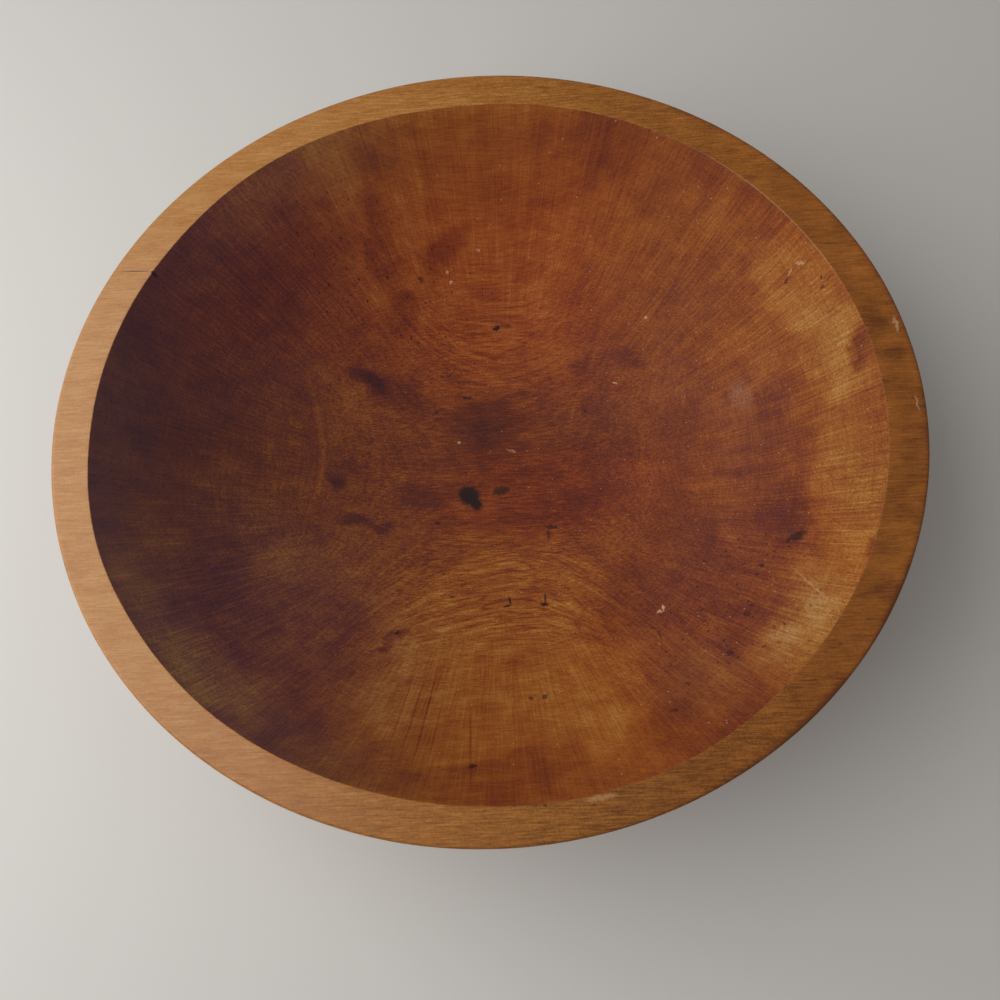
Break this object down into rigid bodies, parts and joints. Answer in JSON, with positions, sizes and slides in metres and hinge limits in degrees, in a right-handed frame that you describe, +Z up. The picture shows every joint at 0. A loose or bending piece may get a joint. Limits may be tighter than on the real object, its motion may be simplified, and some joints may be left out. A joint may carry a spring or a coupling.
{
  "type": "turned wooden bowl",
  "caption": "Shallow oval wooden bowl turned from one piece of timber, with a flat rim, a smooth stained hollow and a flat foot, for serving or storing food.",
  "frame": {"origin": "middle of the foot, on the surface that the bowl stands on", "axes": "+Z up out of the hollow, X along the grain and the longer width, Y across the grain"},
  "size_m": [0.292, 0.2696, 0.084],
  "materials": {
    "bowl_wood": "oiled hardwood, satin, stained dark in the hollow and worn pale on the rim"
  },
  "bodies": {
    "root": {"bowl": "bowl_wood"}
  },
  "joints": []
}
